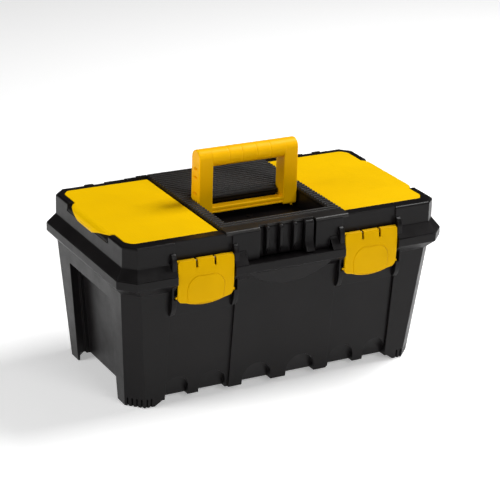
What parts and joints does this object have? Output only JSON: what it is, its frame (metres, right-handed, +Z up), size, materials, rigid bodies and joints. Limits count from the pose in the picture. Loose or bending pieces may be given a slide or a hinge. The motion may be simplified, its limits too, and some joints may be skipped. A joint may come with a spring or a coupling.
{
  "type": "carpenter toolbox",
  "caption": "Plastic hand toolbox with a tapered tub, rear-hinged lid with top organisers, folding handle, front latches and a lift-out tray.",
  "frame": {"origin": "centre of the outer box on the ground, handle up and lid shut", "axes": "+X to the right along the length seen from the front, +Y to the back (hinge side), +Z up"},
  "size_m": [0.48, 0.2726, 0.302],
  "materials": {
    "black_plastic": "fine moulded grain, satin",
    "yellow_plastic": "satin",
    "tray_plastic": "satin",
    "steel": "drawn wire"
  },
  "bodies": {
    "tub": {"tub": "black_plastic", "lid_hinge_pin_left": "steel", "lid_hinge_pin_right": "steel"},
    "lid": {"lid": "black_plastic", "handle_pin_left": "steel", "handle_pin_right": "steel", "organiser_hinge_pin_left": "steel", "organiser_hinge_pin_right": "steel", "latch_pin_left": "steel", "latch_pin_right": "steel", "bin_divider_left_front": "black_plastic", "bin_divider_left_rear": "black_plastic", "bin_divider_right_front": "black_plastic", "bin_divider_right_rear": "black_plastic"},
    "handle": {"handle": "yellow_plastic"},
    "organiser_lid_left": {"organiser_lid_left": "yellow_plastic"},
    "organiser_lid_right": {"organiser_lid_right": "yellow_plastic"},
    "latch_left": {"latch_left": "yellow_plastic"},
    "latch_right": {"latch_right": "yellow_plastic"},
    "tray": {"tote_tray": "tray_plastic", "tray_divider_left": "black_plastic", "tray_divider_right": "black_plastic"}
  },
  "joints": [
    {"name": "lid_hinge", "type": "hinge", "parent": "tub", "child": "lid", "pos_m": [0, 0.13085, 0.18815], "axis": [-1, 0, 0], "range_deg": [0, 105]},
    {"name": "handle_fold", "type": "hinge", "parent": "lid", "child": "handle", "pos_m": [0, -0.00115, 0.221], "axis": [1, 0, 0], "range_deg": [0, 90]},
    {"name": "organiser_lid_left_hinge", "type": "hinge", "parent": "lid", "child": "organiser_lid_left", "pos_m": [-0.0955, -0.00415, 0.2266], "axis": [0, 1, 0], "range_deg": [0, 95]},
    {"name": "organiser_lid_right_hinge", "type": "hinge", "parent": "lid", "child": "organiser_lid_right", "pos_m": [0.0955, -0.00415, 0.2266], "axis": [0, -1, 0], "range_deg": [0, 95]},
    {"name": "latch_left_hinge", "type": "hinge", "parent": "lid", "child": "latch_left", "pos_m": [-0.122, -0.12565, 0.2025], "axis": [-1, 0, 0], "range_deg": [0, 95]},
    {"name": "latch_right_hinge", "type": "hinge", "parent": "lid", "child": "latch_right", "pos_m": [0.122, -0.12565, 0.2025], "axis": [-1, 0, 0], "range_deg": [0, 95]},
    {"name": "tray_lift", "type": "slide", "parent": "tub", "child": "tray", "axis": [0, 0, 1], "range_m": [0, 0.012]}
  ]
}
